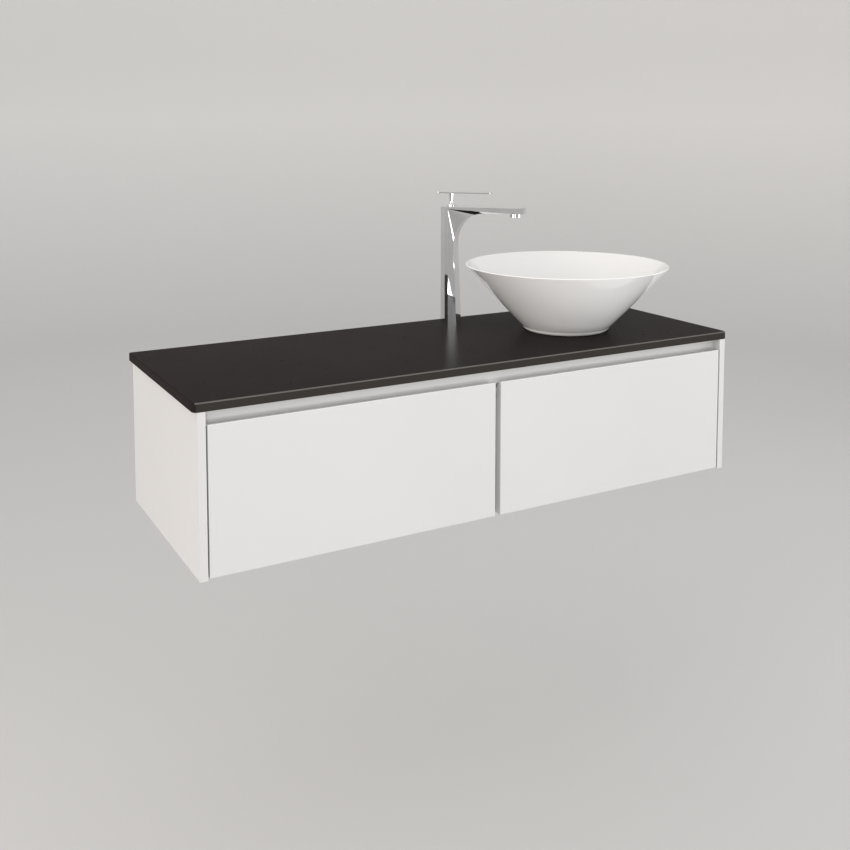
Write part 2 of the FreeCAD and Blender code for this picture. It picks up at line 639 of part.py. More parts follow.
def inlet(where):
    """The slip nut on the waste barrel and the flanged pipe that it holds."""
    barrel_end = f"{DECK} + dims.waste_seat - dims.waste_length"
    flange = f"({barrel_end} - dims.slip_room)"
    bore, pipe = "dims.pipe_radius + dims.slip_room + 0.1", "dims.pipe_radius"
    outer, thread = "dims.waste_barrel + dims.nut_wall", "dims.waste_barrel + 0.1"
    foot = f"({flange} - 8)"
    finish(turned("inlet_nut", [(bore, foot), (outer, foot), (outer, f"{foot} + dims.nut_height"),
                                (thread, f"{foot} + dims.nut_height"), (thread, f"{flange} - 3"),
                                (bore, f"{flange} - 3")], **where), "trap_inlet_nut")
    rim, rim_foot, rim_top = "dims.waste_barrel - 0.3", f"{flange} - 2.8", f"{flange} - 0.3"
    finish(turned("inlet_pipe", [("dims.pipe_bore", "dims.inlet_foot"), (pipe, "dims.inlet_foot"),
                                 (pipe, rim_foot), (rim, rim_foot), (rim, rim_top),
                                 ("dims.pipe_bore", rim_top)], **where), "trap_inlet_pipe")


def bottle(where):
    """The trap's bottle with its branch to the wall, and the cup screwed on from below."""
    hole = "dims.pipe_radius + dims.slip_room"
    collar = "dims.pipe_radius + 5"
    foot, shoulder = "dims.bottle_foot", "dims.bottle_shoulder"
    shell = turned("bottle", [("dims.trap_bore", foot), ("dims.trap_radius", foot),
                              ("dims.trap_radius", shoulder), (collar, "dims.bottle_neck"),
                              (collar, "dims.bottle_top"), (hole, "dims.bottle_top"),
                              (hole, f"{shoulder} + 2"), ("dims.trap_bore", f"{shoulder} - 2")],
                   **where)
    x, y, z = "dims.basin_x", "dims.basin_y", "dims.outlet_z"
    branch = rod("bottle_spigot", "dims.pipe_radius + dims.branch_wall", "dims.branch_length",
                 x, y, z, tilt=ALONG_Y)
    inside = rod("bottle_core", "dims.trap_bore", f"{shoulder} - 2 + 20", x, y, -20)
    bore = rod("bottle_outlet", hole, "dims.branch_length", x, f"{y} + 24", z, tilt=ALONG_Y)
    spout = cut("bottle_branch", branch, inside)
    finish(cut("bottle_cut", fuse("bottle_solid", shell, spout), bore), "trap_body")
    base, lip, grip, wide = "dims.cup_foot", "dims.cup_top", "dims.cup_grip", "dims.cup_radius"
    finish(turned("cup", [(0, base), (24, base), (grip, f"{base} + 8"), (grip, f"{base} + 24"),
                          (wide, f"{base} + 28"), (wide, lip), ("dims.trap_radius + 0.1", lip),
                          ("dims.trap_radius + 0.1", f"{base} + 30"),
                          ("dims.trap_bore", f"{base} + 26"), ("dims.trap_bore", f"{base} + 9"),
                          (22, f"{base} + 3.5"), (0, f"{base} + 3.5")], **where), "trap_cup")


def outlet():
    """The branch's slip nut, the pipe to the wall and the cover flange around it at the wall."""
    x, y, z = "dims.basin_x", "dims.basin_y", "dims.outlet_z"
    hole = "dims.pipe_radius + dims.slip_room"
    nut_start = f"{y} + dims.outlet_nut_at"
    nut = rod("outlet_nut_solid", "dims.pipe_radius + 8", "dims.outlet_nut_length", x, nut_start, z,
              tilt=ALONG_Y)
    thread = rod("outlet_nut_thread", "dims.pipe_radius + dims.branch_wall + 0.1", 10, x,
                 f"{nut_start} - 5", z, tilt=ALONG_Y)
    collar = rod("outlet_nut_collar", hole, "dims.outlet_nut_length + 12", x, f"{nut_start} - 5", z,
                 tilt=ALONG_Y)
    finish(cut("outlet_nut", nut, thread, collar), "trap_outlet_nut")
    start = f"({y} + dims.outlet_start)"
    pipe = rod("outlet_solid", "dims.pipe_radius", f"-{start}", x, start, z, tilt=ALONG_Y)
    hollow = rod("outlet_hollow", "dims.pipe_bore", f"-{start} + 2", x, f"{start} - 1", z,
                 tilt=ALONG_Y)
    finish(cut("outlet_pipe", pipe, hollow), "trap_outlet_pipe")
    plate = doc.addObject("Part::Cone", "flange_cone")
    bind(plate, Radius1="dims.pipe_radius + dims.flange_wide - 1",
         Radius2="dims.pipe_radius + dims.flange_wide", Height="dims.flange_depth")
    place(plate, x, "-dims.flange_depth", z, tilt=ALONG_Y)
    opening = rod("flange_hole", hole, "dims.flange_depth + 2", x, "-dims.flange_depth - 1", z,
                  tilt=ALONG_Y)
    finish(cut("flange", plate, opening), "trap_wall_flange")


def trap():
    """A bottle trap hung from the waste barrel, with its outlet pipe running to the wall."""
    where = {"x": "dims.basin_x", "y": "dims.basin_y"}
    inlet(where)
    bottle(where)
    outlet()


basin()
waste()
trap()

# ---------------------------------------------------------------- mixer

AT_MIXER = {"x": "dims.mixer_x", "y": "dims.mixer_y", "z": DECK, "yaw": "dims.mixer_yaw"}


def casting_outline():
    """The casting's side view: the column's front leans back, then sweeps into the spout."""
    back, top, under = "-dims.mixer_back", "dims.mixer_height", "dims.spout_under"
    arc_foot = f"({under} - dims.arc_reach)"
    arc_foot_x = f"dims.mixer_front - (dims.mixer_front - dims.mixer_slope) * {arc_foot} / {under}"
    return [(back, 0), ("dims.mixer_front", 0), (arc_foot_x, arc_foot),
            ("dims.mixer_slope + dims.arc_reach", under, "-dims.spout_arc"),
            ("dims.spout_tip", under), ("dims.spout_tip", top), (back, top)]


def ridge_outline():
    """The flat L-shaped side of the casting, up to the ridges where its web begins to slope in."""
    back, top, ridge = "-dims.mixer_back", "dims.mixer_height", "dims.ridge_z"
    return [(back, 0), ("dims.ridge_at", 0), ("dims.ridge_at", f"{ridge} - dims.ridge_corner"),
            ("dims.ridge_at + dims.ridge_corner", ridge, "-dims.ridge_corner"),
            ("dims.spout_tip", "dims.spout_under + dims.ridge_end"), ("dims.spout_tip", top),
            (back, top)]


def casting_cheek(body, side, sign):
    """One side of the casting: its web slopes from the ridges in to the edge of the arc."""
    inner = new_sketch(body, f"cheek_inner_{side}", "XZ_Plane",
                       f"-{sign} * (dims.mixer_width / 2 - dims.web_depth)")
    draw_outline(inner, casting_outline())
    outer = new_sketch(body, f"cheek_outer_{side}", "XZ_Plane", f"-{sign} * dims.mixer_width / 2")
    draw_outline(outer, ridge_outline())
    cheek = body.newObject("PartDesign::AdditiveLoft", f"cheek_{side}")
    cheek.Profile = inner
    cheek.Sections = [outer]
    cheek.Ruled = True
    doc.recompute()
    return cheek


def corner_triangle(sketch, x, y, size):
    """A right triangle on the corner (x, y), each with its own sign for the way into the piece."""
    draw_outline(sketch, [(x[0], y[0]), (f"{x[0]} + {x[1]} * {size}", y[0]),
                          (x[0], f"{y[0]} + {y[1]} * {size}")])


def mixer_body():
    """A cast column that sweeps into a flat spout, hollow for the hoses, cartridge and water."""
    body = new_body("casting")
    top = "dims.mixer_height"
    sketch = new_sketch(body, "casting_profile", "XZ_Plane")
    draw_outline(sketch, casting_outline())
    pad(body, sketch, "casting_pad", "dims.mixer_width - 2 * dims.web_depth", midplane=True)
    casting_cheek(body, "near", -1)
    casting_cheek(body, "far", 1)
    corners = new_sketch(body, "corner_outlines", offset=0)
    half = "dims.mixer_width / 2"
    for sign in (-1, 1):
        side = (f"{sign} * {half}", -sign)
        corner_triangle(corners, ("-dims.mixer_back", 1), side, "dims.mixer_facet")
        corner_triangle(corners, ("dims.spout_tip", -1), side, "dims.spout_facet")
    solid = pocket(body, corners, "casting_facets", f"{top} + 1", back=True)
    high = value(top)
    solid = rounded("casting_top", solid, "dims.casting_round",
                    lambda at, along, edge: abs(at.z - high) < 0.01)
    seat = new_sketch(body, "cartridge_outline", offset="dims.cartridge_seat")
    draw_circle(seat, 0, 0, "dims.cartridge_bore")
    pocket(body, seat, "cartridge_cavity", f"{top} - dims.cartridge_seat + 1", back=True)
    hoses = new_sketch(body, "hose_outline", offset=0)
    shaft = ("-dims.shaft_back", "dims.shaft_front", "dims.shaft_half")
    draw_outline(hoses, [(shaft[0], f"-{shaft[2]}"), (shaft[1], f"-{shaft[2]}"),
                         (shaft[1], shaft[2]), (shaft[0], shaft[2])])
    pocket(body, hoses, "hose_shaft", "dims.hose_seat", back=True)
    shank = new_sketch(body, "shank_outline", offset=0)
    draw_circle(shank, 0, 0, "dims.shank_radius")
    pocket(body, shank, "shank_thread", "dims.thread_depth", back=True)
    groove = new_sketch(body, "base_groove_outline", offset=0)
    draw_circle(groove, 0, 0, "dims.mixer_hole")
    pocket(body, groove, "base_groove", "dims.groove_depth", back=True)
    inlets = new_sketch(body, "inlet_outlines", offset="dims.hose_seat")
    for sign in (-1, 1):
        draw_circle(inlets, "-dims.inlet_back", f"{sign} * dims.inlet_offset", "dims.inlet_radius")
    pocket(body, inlets, "inlets", "dims.cartridge_seat - dims.hose_seat", back=True)
    water = new_sketch(body, "waterway_outline", "YZ_Plane",
                       offset="dims.waterway_start")
    wide = "dims.waterway_half"
    low, high = "dims.spout_under + dims.waterway_wall", f"{top} - dims.waterway_wall"
    draw_outline(water, [(f"-{wide}", low), (wide, low), (wide, high), (f"-{wide}", high)])
    pocket(body, water, "waterway", "dims.aerator_at + 2 - dims.waterway_start",
           back=True)
    outlet = new_sketch(body, "outlet_outline", offset="dims.spout_under")
    draw_circle(outlet, "dims.aerator_at", 0, "dims.outlet_radius")
    pocket(body, outlet, "outlet", "dims.outlet_depth", back=True)
    return finish(place(body, **AT_MIXER), "mixer_body")


def mixer_fixing():
    """Seal, threaded shank, washers and nut that clamp the mixer to the benchtop."""
    bench = "-dims.top_thick"
    plate = f"({bench} - dims.clamp_rubber)"
    nut = f"({plate} - dims.clamp_plate)"
    bore = "dims.shank_radius + 0.3"
    finish(ring("base_ring", bore, "dims.mixer_hole - 0.2", 0, "dims.groove_depth - 0.1",
                **AT_MIXER), "mixer_base_seal")
    finish(ring("shank", "dims.shank_bore", "dims.shank_radius - 0.05", "dims.shank_foot",
                "dims.thread_depth", **AT_MIXER), "mixer_shank")
    finish(ring("clamp_rubber", bore, "dims.clamp_radius", plate, bench, **AT_MIXER),
           "mixer_clamp_seal")
    finish(ring("clamp_disc", bore, "dims.clamp_radius - 0.5", nut, plate, **AT_MIXER),
           "mixer_clamp_plate")
    finish(hexagon_nut("clamp_nut", "dims.shank_radius + 0.1", "dims.clamp_flats",
                       f"{nut} - dims.clamp_nut", nut, **AT_MIXER), "mixer_clamp_nut")


def mixer_cartridge():
    """The valve cartridge and the ring nut that holds it and closes the top of the column."""
    fit, neck, socket = "dims.cartridge_bore - 0.3", "dims.neck_radius", "dims.socket_radius"
    foot, top = "dims.cartridge_seat + 0.2", "dims.cartridge_top"
    finish(turned("valve", [(0, foot), (fit, foot), (fit, top), (neck, top),
                            (neck, "dims.neck_top"), (socket, "dims.neck_top"),
                            (socket, "dims.socket_foot"), (0, "dims.socket_foot")], **AT_MIXER),
           "mixer_cartridge")
    brim, mouth, step = "dims.mixer_height - 0.2", "dims.ring_nut_mouth", "dims.ring_nut_step"
    finish(turned("ring_nut", [(f"{neck} + 0.3", f"{top} + 0.2"), (fit, f"{top} + 0.2"),
                               (fit, brim), (mouth, brim), (mouth, step), (f"{neck} + 0.3", step)],
                  **AT_MIXER), "mixer_cartridge_nut")


def along_spout(distance):
    """Expressions for the point on the benchtop that far from the mixer's axis."""
    return (f"dims.mixer_x + {distance} * cos(dims.mixer_yaw * 1deg)",
            f"dims.mixer_y + {distance} * sin(dims.mixer_yaw * 1deg)")


def aerator():
    """A screwed housing under the spout tip with the flow insert inside it."""
    under = "dims.spout_under"
    foot = f"({under} - dims.aerator_drop)"
    bore, outer, thread = "dims.aerator_bore", "dims.aerator_radius", "dims.aerator_thread"
    x, y = along_spout("dims.aerator_at")
    where = {"x": x, "y": y, "z": DECK}
    finish(turned("aerator_ring", [(bore, foot), (outer, foot), (outer, f"{under} - 0.2"),
                                   (thread, f"{under} - 0.2"),
                                   (thread, f"{under} + dims.aerator_rise"),
                                   (bore, f"{under} + dims.aerator_rise")], **where),
           "aerator_housing")
    finish(rod("aerator_core", f"{bore} - 0.1", "dims.aerator_drop", x, y, f"{DECK} + {foot} + 1"),
           "aerator_insert")


def lever_stem():
    """The lever's ball and shaft, and the grub screw in the shaft's tapped hole."""
    ball, plate = "dims.ball_z", "dims.lever_low"
    knuckle = doc.addObject("Part::Sphere", "lever_ball")
    bind(knuckle, Radius="dims.ball_radius")
    place(knuckle, "dims.mixer_x", "dims.mixer_y", f"{DECK} + {ball}")
    radius, flare = "dims.stem_radius", "dims.stem_flare"
    shaft = turned("lever_shaft", [(0, ball), (radius, ball), (radius, f"{ball} + 4"),
                                   (flare, plate), (0, plate)], **AT_MIXER)
    tapped = rod("grub_hole", "dims.grub_radius + 0.1", "dims.grub_drop")
    screw = rod("grub", "dims.grub_radius", "dims.grub_length")
    for piece, start in ((tapped, -7), (screw, -4.9)):
        piece.Placement = Placement(Vector(0, 0, 0),
                                    Rotation(value("dims.mixer_yaw"), 0, 0) * ALONG_X)
        x, y = along_spout(start)
        bind(piece, **{".Placement.Base.x": x, ".Placement.Base.y": y,
                       ".Placement.Base.z": f"{DECK} + {plate} - dims.grub_drop"})
    finish(cut("lever_stem", fuse("lever_stem_solid", knuckle, shaft), tapped), "mixer_lever_stem")
    finish(screw, "mixer_grub_screw")


def mixer_lever():
    """The swivelling cup and spindle, and the lever that tilts on its ball in the cup."""
    ball = "dims.ball_z"
    cup_foot = "(dims.mixer_height + 0.2)"
    spindle, neck, top = "dims.spindle_radius", "dims.neck_radius", f"{ball} - 1"
    cup = turned("cup_solid", [(0, "dims.spindle_foot"), (spindle, "dims.spindle_foot"),
                               (spindle, cup_foot), (neck, cup_foot),
                               (neck, f"{cup_foot} + dims.cup_brim"), ("dims.cup_radius_top", top),
                               (0, top)], **AT_MIXER)
    socket = doc.addObject("Part::Sphere", "cup_socket")
    bind(socket, Radius="dims.ball_radius + 0.3")
    place(socket, "dims.mixer_x", "dims.mixer_y", f"{DECK} + {ball}")
    finish(cut("cup_cut", cup, socket), "mixer_pivot_cup")
    lever_stem()
    body = new_body("plate")
    sketch = new_sketch(body, "plate_outline", offset="dims.lever_low")
    half, narrow = "dims.lever_width / 2", "dims.lever_width / 2 - dims.lever_taper"
    draw_outline(sketch, [("-dims.lever_rear", f"-({narrow})"), ("dims.lever_front", f"-{half}"),
                          ("dims.lever_front", half), ("-dims.lever_rear", narrow)])
    plate = pad(body, sketch, "plate_pad", "dims.lever_thick")
    plate = rounded("plate_corners", plate, "dims.lever_corner",
                    lambda at, along, edge: abs(along.z) > 0.9)
    rounded("plate_edges", plate, "dims.lever_edge", lambda at, along, edge: abs(along.z) < 0.1)
    finish(place(body, **AT_MIXER), "mixer_lever_plate")


mixer_body()
mixer_fixing()
mixer_cartridge()
aerator()
mixer_lever()

# ---------------------------------------------------------------- check and write

doc.recompute()
faults = [item.Name for item in doc.Objects
          if any(word in item.State for word in ("Invalid", "Error"))]
for piece in finished:
    if piece.Shape.isNull() or not piece.Shape.isValid() or not piece.Shape.Solids:
        faults.append(piece.Label)
if faults:
    raise RuntimeError(f"failed: {faults}")

os.makedirs("parts", exist_ok=True)
for piece in finished:
    piece.Shape.exportStep(f"parts/{piece.Label}.step")
print(len(finished), "pieces written")
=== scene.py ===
"""Looks for the vessel sink on a wall-hung vanity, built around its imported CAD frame.

Everything is in metres in the CAD's own frame: +X to the right, +Y into the wall, +Z up.
"""

import json
import math

import bmesh
import bpy
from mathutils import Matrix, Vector


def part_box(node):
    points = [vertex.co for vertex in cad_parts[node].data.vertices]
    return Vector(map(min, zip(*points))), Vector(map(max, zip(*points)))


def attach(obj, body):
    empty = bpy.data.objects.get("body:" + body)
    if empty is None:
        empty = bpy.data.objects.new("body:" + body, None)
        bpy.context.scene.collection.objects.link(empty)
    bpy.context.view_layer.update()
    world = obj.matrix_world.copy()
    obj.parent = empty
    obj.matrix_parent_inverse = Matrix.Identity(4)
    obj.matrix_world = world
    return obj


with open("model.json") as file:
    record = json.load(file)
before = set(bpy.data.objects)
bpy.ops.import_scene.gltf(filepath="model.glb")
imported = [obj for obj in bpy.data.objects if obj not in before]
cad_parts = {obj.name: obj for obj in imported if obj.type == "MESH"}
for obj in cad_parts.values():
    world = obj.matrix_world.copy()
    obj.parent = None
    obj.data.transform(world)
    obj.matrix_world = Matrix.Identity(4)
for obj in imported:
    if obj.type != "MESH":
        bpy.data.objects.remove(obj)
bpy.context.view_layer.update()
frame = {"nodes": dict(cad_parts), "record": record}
nodes = frame["nodes"]
scene = bpy.context.scene

STANDING_HEIGHT = 0.864                     # the usual height of a basin benchtop
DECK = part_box("benchtop")[1].z              # the benchtop's upper face
FLOOR_Z = DECK - STANDING_HEIGHT

BLACK, WHITE = (0, 0, 0), (1, 1, 1)
TO_FRONT = (0, -1, 0)
TO_FRONT_AND_UP = (0, -0.707, 0.707)        # square to an upper front arris


# ---------------------------------------------------------------- material helpers

class Shade:
    """A node material under construction, with short calls for the nodes that it uses."""

    def __init__(self, name):
        self.material = bpy.data.materials.new(name)
        self.material.use_nodes = True
        self.tree = self.material.node_tree
        self.shader = next(n for n in self.tree.nodes if n.type == "BSDF_PRINCIPLED")
        self.coords = self.tree.nodes.new("ShaderNodeTexCoord").outputs["Object"]

    def node(self, kind, links=None, **settings):
        """A node with its settings; links gives each input a socket to read or a plain value."""
        made = self.tree.nodes.new(kind)
        for key, setting in settings.items():
            setattr(made, key, setting)
        for key, source in (links or {}).items():
            if isinstance(source, bpy.types.NodeSocket):
                self.tree.links.new(source, made.inputs[key])
            else:
                made.inputs[key].default_value = source
        return made

    def set(self, **inputs):
        """Uniform shader values, set on the shader's own sockets."""
        for key, setting in inputs.items():
            self.shader.inputs[key.replace("_", " ")].default_value = setting

    def link(self, source, key):
        """Feed one of the shader's inputs from a node's output."""
        self.tree.links.new(source, self.shader.inputs[key])

    def stretched(self, scale):
        """Object coordinates stretched per axis, for grain and brushing."""
        return self.node("ShaderNodeMapping", {"Vector": self.coords, "Scale": scale}).outputs[0]

    def noise(self, scale, detail=3.0, roughness=0.5, vector=None):
        """Noise from 0 to 1, with about scale features to the metre."""
        return self.node("ShaderNodeTexNoise",
                         {"Vector": vector or self.coords, "Scale": scale, "Detail": detail,
                          "Roughness": roughness}).outputs["Fac"]

    def ramp(self, source, stops):
        """A colour ramp; stops are (position, colour) pairs."""
        made = self.node("ShaderNodeValToRGB", {"Fac": source})
        elements = made.color_ramp.elements
        while len(elements) < len(stops):
            elements.new(0.5)
        for element, (position, colour) in zip(elements, stops):
            element.position = position
            element.color = (*colour, 1)
        return made.outputs["Color"]

    def tones(self, source, dark, light):
        """Two tones that change over the middle of a noise's range."""
        return self.ramp(source, [(0.3, dark), (0.7, light)])

    def step(self, source, start, end):
        """A mask: black up to the start, white from the end."""
        return self.ramp(source, [(start, BLACK), (end, WHITE)])

    def spread(self, source, low, high):
        """A 0 to 1 value spread over a range."""
        return self.node("ShaderNodeMapRange", {"Value": source, "To Min": low,
                                                "To Max": high}).outputs[0]

    def rise(self, low, high):
        """0 at the lower height and 1 at the upper one."""
        height = self.node("ShaderNodeSeparateXYZ", {"Vector": self.coords}).outputs["Z"]
        return self.node("ShaderNodeMapRange", {"Value": height, "From Min": low,
                                                "From Max": high}).outputs[0]

    def mix(self, factor, first, second):
        """The first colour socket, blended to a second colour where the factor is one."""
        made = self.node("ShaderNodeMix", {"Factor": factor}, data_type="RGBA")
        self.tree.links.new(first, made.inputs["A"])
        made.inputs["B"].default_value = (*second, 1)
        return made.outputs["Result"]

    def facing(self, direction):
        """How squarely a surface faces a direction of the object: 1 when it faces it full on."""
        normal = self.node("ShaderNodeNewGeometry").outputs["Normal"]
        return self.node("ShaderNodeVectorMath", {0: normal, 1: direction},
                         operation="DOT_PRODUCT").outputs["Value"]

    def bump(self, height, strength, distance):
        """A relief on top of any that the shader already has."""
        made = self.node("ShaderNodeBump", {"Height": height, "Strength": strength,
                                            "Distance": distance})
        previous = self.shader.inputs["Normal"]
        if previous.is_linked:
            self.tree.links.new(previous.links[0].from_socket, made.inputs["Normal"])
        self.link(made.outputs["Normal"], "Normal")


def grey(value, warmth=0.0):
    """A grey whose red is higher and blue lower by the share warmth."""
    return (value * (1 + warmth), value, value * (1 - warmth))


# ---------------------------------------------------------------- finishes

def lacquer():
    """Satin white lacquer on board: faint tone drift, fine orange peel, and a painted highlight
    along the upper front arris.
    """
    shade = Shade("white_lacquer")
    drift = shade.tones(shade.noise(2.2, 2.0), grey(0.635, 0.002), grey(0.655, 0.002))
    # painted highlight: faces square to the upper front arris are coloured near white
    painted_arris_highlight = shade.step(shade.facing(TO_FRONT_AND_UP), 0.80, 0.93)
    shade.link(shade.mix(painted_arris_highlight, drift, grey(0.90)), "Base Color")
    shade.link(shade.spread(shade.noise(34), 0.34, 0.44), "Roughness")
    shade.set(Coat_Weight=0.12, Coat_Roughness=0.25, Specular_IOR_Level=0.45)
    shade.bump(shade.noise(620, 2.0), strength=0.035, distance=0.0006)
    return shade.material


def melamine():
    """White melamine-faced board for the inside, a little duller, with a fine print texture."""
    shade = Shade("white_melamine")
    shade.link(shade.tones(shade.noise(5), grey(0.70, 0.01), grey(0.735, 0.008)), "Base Color")
    shade.link(shade.spread(shade.noise(60), 0.45, 0.6), "Roughness")
    shade.bump(shade.noise(900), strength=0.12, distance=0.0004)
    return shade.material


def charcoal_top():
    """Satin charcoal slab with fine specks: a front edge face painted paler as a painted sheen, and
    a painted highlight on the arris above it.
    """
    shade = Shade("charcoal_top")
    cloud = shade.noise(6, 5.0, 0.6)
    ground = shade.ramp(cloud, [(0.25, (0.0185, 0.0150, 0.0145)),
                                (0.75, (0.0245, 0.0200, 0.0195))])
    cells = shade.node("ShaderNodeTexVoronoi", {"Vector": shade.coords, "Scale": 700.0})
    specks = shade.ramp(cells.outputs["Distance"], [(0.05, WHITE), (0.13, BLACK)])
    speckled = shade.mix(specks, ground, grey(0.045, 0.03))
    # painted sheen on the front edge face, and a painted highlight on the bevelled arris above it
    painted_edge_sheen = shade.step(shade.facing(TO_FRONT), 0.90, 0.97)
    painted_arris_highlight = shade.step(shade.facing(TO_FRONT_AND_UP), 0.85, 0.93)
    with_painted_sheen = shade.mix(painted_edge_sheen, speckled, grey(0.036, 0.09))
    shade.link(shade.mix(painted_arris_highlight, with_painted_sheen, grey(0.13, 0.05)), "Base Color")
    shade.link(shade.spread(shade.noise(80, 4.0), 0.25, 0.33), "Roughness")
    shade.set(Specular_IOR_Level=0.003)
    shade.bump(shade.noise(1400), strength=0.04, distance=0.0003)
    return shade.material


def glaze():
    """Gloss white glaze over ceramic: thick clear coat with long soft waves."""
    shade = Shade("white_glaze")
    drift = shade.tones(shade.noise(7, 2.0), grey(0.86, 0.004), grey(0.88, 0.003))
    shade.link(drift, "Base Color")
    shade.link(shade.spread(shade.noise(26, 2.0), 0.05, 0.11), "Roughness")
    shade.set(Coat_Weight=0.5, Coat_Roughness=0.03, Specular_IOR_Level=0.55)
    shade.bump(shade.noise(16, 1.0), strength=0.05, distance=0.0015)
    return shade.material


def chrome():
    """Polished chrome with hair-fine polishing marks."""
    shade = Shade("polished_chrome")
    drift = shade.tones(shade.noise(14, 2.0), grey(0.70, -0.008), grey(0.75, -0.008))
    shade.link(drift, "Base Color")
    marks = shade.noise(240, 4.0, 0.7, shade.stretched((1.0, 1.0, 9.0)))
    shade.link(shade.spread(marks, 0.015, 0.05), "Roughness")
    shade.set(Metallic=1.0)
    shade.bump(shade.noise(30, 2.0), strength=0.012, distance=0.0006)
    return shade.material


def metal(name, dark, light, rough, stretch=(1, 1, 1)):
    """A drawn or turned metal; stretch is low along the direction of the tool marks."""
    shade = Shade(name)
    marks = shade.noise(180, 5.0, 0.65, shade.stretched(stretch))
    shade.link(shade.tones(marks, dark, light), "Base Color")
    shade.link(shade.spread(marks, *rough), "Roughness")
    shade.set(Metallic=1.0)
    shade.bump(marks, strength=0.1, distance=0.0003)
    return shade.material


def plastic(name, dark, light, rough, grain=700.0):
    """A moulded plastic or rubber with a fine grain."""
    shade = Shade(name)
    shade.link(shade.tones(shade.noise(9), dark, light), "Base Color")
    shade.link(shade.spread(shade.noise(120), *rough), "Roughness")
    shade.bump(shade.noise(grain, 2.0), strength=0.15, distance=0.0003)
    return shade.material


def channel_coating():
    """Light grey coating of the finger channel, painted paler toward the foot of the channel to
    offset the shade that falls there.
    """
    shade = Shade("channel_coating")
    low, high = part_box("finger_pull_channel")
    # painted light: paler toward the channel's foot, against the shade in the channel
    fade = shade.ramp(shade.rise(low.z, high.z), [(0.35, grey(0.86, 0.006)),
                                                  (0.8, grey(0.64, 0.006))])
    shade.link(fade, "Base Color")
    shade.link(shade.spread(shade.noise(120), 0.36, 0.46), "Roughness")
    shade.bump(shade.noise(700, 2.0), strength=0.15, distance=0.0003)
    return shade.material


def beech():
    """Plain beech with its grain along the dowels."""
    shade = Shade("beech")
    grain = shade.noise(120, 5.0, 0.6, shade.stretched((0.12, 1, 1)))
    shade.link(shade.tones(grain, (0.50, 0.33, 0.18), (0.66, 0.48, 0.30)), "Base Color")
    shade.link(shade.spread(grain, 0.5, 0.7), "Roughness")
    shade.bump(grain, strength=0.3, distance=0.0003)
    return shade.material


finishes = {
    "cabinet_lacquer": lacquer(),
    "board": melamine(),
    "channel": channel_coating(),
    "dowel_wood": beech(),
    "benchtop": charcoal_top(),
    "basin_glaze": glaze(),
    "rubber": plastic("black_rubber", grey(0.018), grey(0.03), (0.6, 0.8), grain=500.0),
    "chrome": chrome(),
    "brass": metal("machined_brass", (0.66, 0.47, 0.19), (0.80, 0.60, 0.28), (0.22, 0.36)),
    "trap_plastic": plastic("white_plastic", grey(0.74, 0.006), grey(0.79, 0.006), (0.3, 0.42)),
    "grey_plastic": plastic("grey_plastic", grey(0.20), grey(0.26), (0.35, 0.5)),
    "steel": metal("zinc_steel", grey(0.50, -0.01), grey(0.66, -0.01), (0.25, 0.42),
                   stretch=(1, 0.08, 1)),
}

for entry in frame["record"]["subparts"]:
    mesh = nodes[entry["node"]].data
    mesh.materials.clear()
    mesh.materials.append(finishes[entry["material_slot"]])


# ---------------------------------------------------------------- small detail pieces

def mesh_object(name, vertices, faces, material):
    """A mesh in the scene with one material."""
    mesh = bpy.data.meshes.new(name)
    mesh.from_pydata(vertices, [], faces)
    mesh.materials.append(material)
    thing = bpy.data.objects.new(name, mesh)
    scene.collection.objects.link(thing)
    return thing


def detail(name, vertices, faces, slot, body):
    """A new piece of the object: its finish comes from a slot, and it rides on a body."""
    thing = mesh_object(name, vertices, faces, finishes[slot])
    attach(thing, body)
    return thing


def tidy_normals(mesh):
    """Turn every face of a closed mesh outward."""
    shell = bmesh.new()
    shell.from_mesh(mesh)
    bmesh.ops.recalc_face_normals(shell, faces=shell.faces)
    shell.to_mesh(mesh)
    shell.free()


RIB_HEIGHT = 0.0012
RIB_SINK = 0.0004                           # how deep a rib's foot is sunk in its node
RIB_MARGIN = 0.0012                         # left plain at each end of a nut
RIB_RUN_IN = 0.001                          # the length over which a rib's end rises
RIB_END_LIFT = 0.25                         # a rib's height at its ends, as a share
RIB_HALF_WIDTH = 0.30                       # as a share of the pitch
RIB_POINTS = 7                              # across a rib


